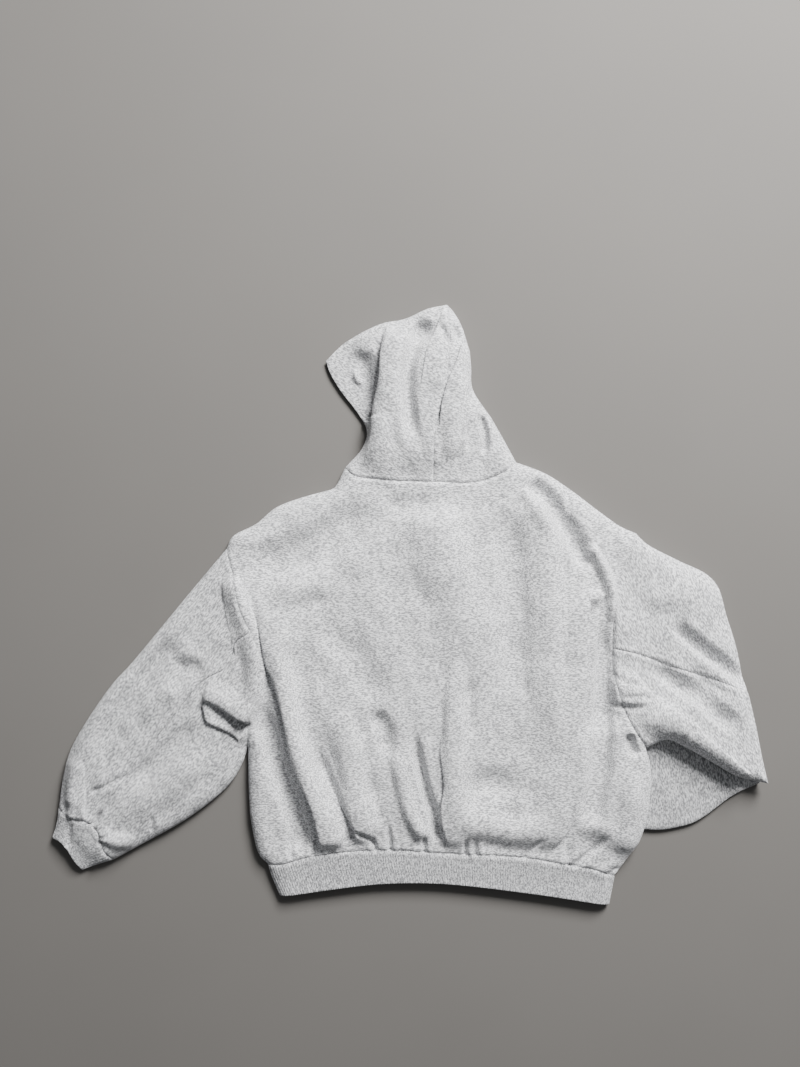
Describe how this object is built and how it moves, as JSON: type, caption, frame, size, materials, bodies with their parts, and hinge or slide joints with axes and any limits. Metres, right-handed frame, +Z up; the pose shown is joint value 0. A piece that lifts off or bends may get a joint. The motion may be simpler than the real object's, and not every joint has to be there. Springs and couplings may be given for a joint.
{
  "type": "zip up hoodie",
  "caption": "Heather grey fleece zip up hoodie laid face down, with a two panel hood, full sleeves, rib cuffs and hem band; the tab of its zip turns.",
  "frame": {"origin": "on the ground, under the middle of the garment's box", "axes": "+X towards the wearer's right sleeve, +Y from the hem to the hood, +Z up, away from the ground"},
  "size_m": [1.063, 0.893, 0.0378],
  "materials": {
    "fleece": "brushed heather fleece",
    "rib": "ribbed knit",
    "tape": "woven tape",
    "metal": "satin"
  },
  "bodies": {
    "garment": {"back": "fleece", "front_left": "fleece", "front_right": "fleece", "hood_left": "fleece", "hood_right": "fleece", "sleeve_left_top": "fleece", "sleeve_left_under": "fleece", "cuff_left": "rib", "sleeve_right_top": "fleece", "sleeve_right_under": "fleece", "sleeve_right_forearm": "fleece", "cuff_right": "rib", "hem_band": "rib", "zip_tape_left": "tape", "zip_tape_right": "tape", "zip_slider": "metal"},
    "zip_pull": {"zip_pull": "metal"}
  },
  "joints": [
    {"name": "pull_hinge", "type": "hinge", "parent": "garment", "child": "zip_pull", "pos_m": [0.04017, 0.11, 0.0042], "axis": [1, 0, 0], "range_deg": [0, 165]}
  ]
}
